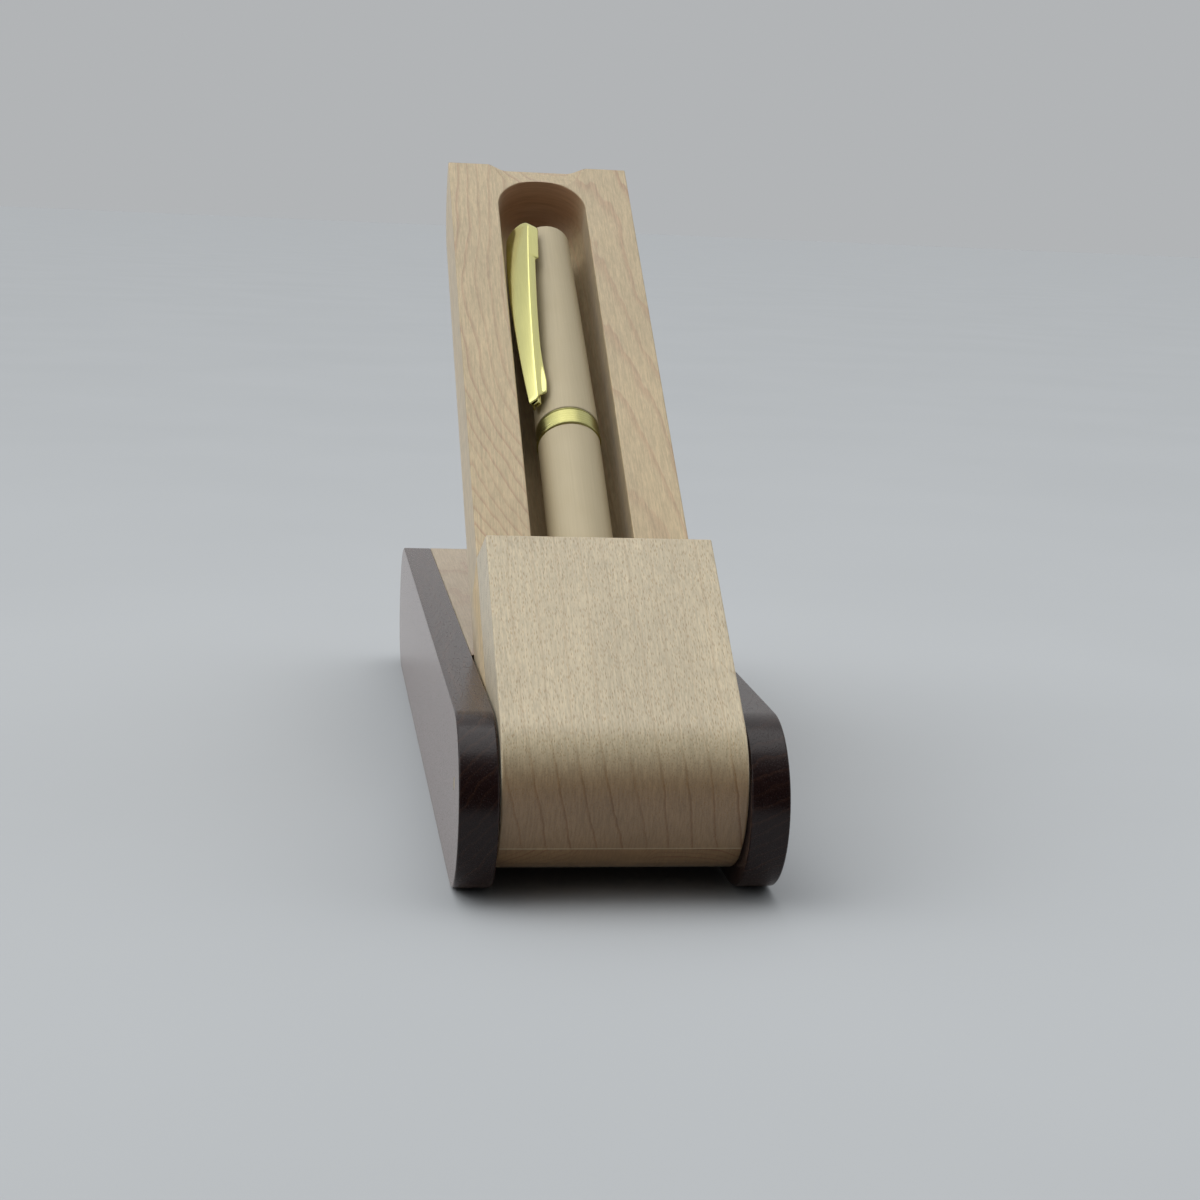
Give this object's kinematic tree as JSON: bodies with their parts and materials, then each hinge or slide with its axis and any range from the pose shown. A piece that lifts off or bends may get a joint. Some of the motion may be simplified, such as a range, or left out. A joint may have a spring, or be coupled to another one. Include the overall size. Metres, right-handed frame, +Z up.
{
  "type": "pen display box",
  "caption": "Wooden flip-out display box for a pen: a slotted tray swings on pivot pins between round-ended side panels and leans open on the deck, showing a twist pen in its slot.",
  "frame": {"origin": "on the table, under the middle of the case", "axes": "+Z up; +Y from the pivot end to the far end of the case, along its length; +X across the case, from the left side panel to the right one as seen from the pivot end"},
  "size_m": [0.05, 0.178, 0.1122],
  "materials": {
    "rosewood": "satin, oiled near-black rosewood with fine pores",
    "maple": "satin, flat-sawn figure",
    "pale_maple": "satin, quarter-sawn with small flecks",
    "pivot_brass": "plain, ground flush",
    "champagne": "satin lacquer with a metallic sheen",
    "gold_trim": "polished gold plate",
    "refill_steel": "plain"
  },
  "bodies": {
    "case": {"left_side_panel": "rosewood", "right_side_panel": "rosewood", "deck_board": "maple", "left_pivot_pin": "pivot_brass", "right_pivot_pin": "pivot_brass"},
    "tray": {"pen_tray": "maple", "pocket_block": "pale_maple"},
    "pen_upper": {"pen_cap": "champagne", "pen_clip": "gold_trim", "pen_twist_sleeve": "pivot_brass"},
    "pen_lower": {"pen_centre_band": "gold_trim", "pen_barrel": "champagne", "pen_nose_cone": "gold_trim"},
    "refill": {"refill_tube": "refill_steel", "refill_point": "pivot_brass"}
  },
  "joints": [
    {"name": "tray_flip", "type": "hinge", "parent": "case", "child": "tray", "pos_m": [0, -0.079, 0.017], "axis": [1, 0, 0], "range_deg": [0, 324.3]},
    {"name": "pen_slide", "type": "slide", "parent": "tray", "child": "pen_upper", "axis": [0, 0.8128, 0.5826], "range_m": [0, 0.0125]},
    {"name": "pen_twist", "type": "hinge", "parent": "pen_upper", "child": "pen_lower", "pos_m": [0.0004, -0.06566, 0.01727], "axis": [0, 0.8128, 0.5826], "range_deg": [0, 180]},
    {"name": "refill_feed", "type": "slide", "parent": "pen_upper", "child": "refill", "axis": [0, -0.8128, -0.5826], "range_m": [0, 0.004]}
  ],
  "couplings": [
    {"joint": "refill_feed", "follows": "pen_twist", "m_per_rad": 0.0012732}
  ]
}
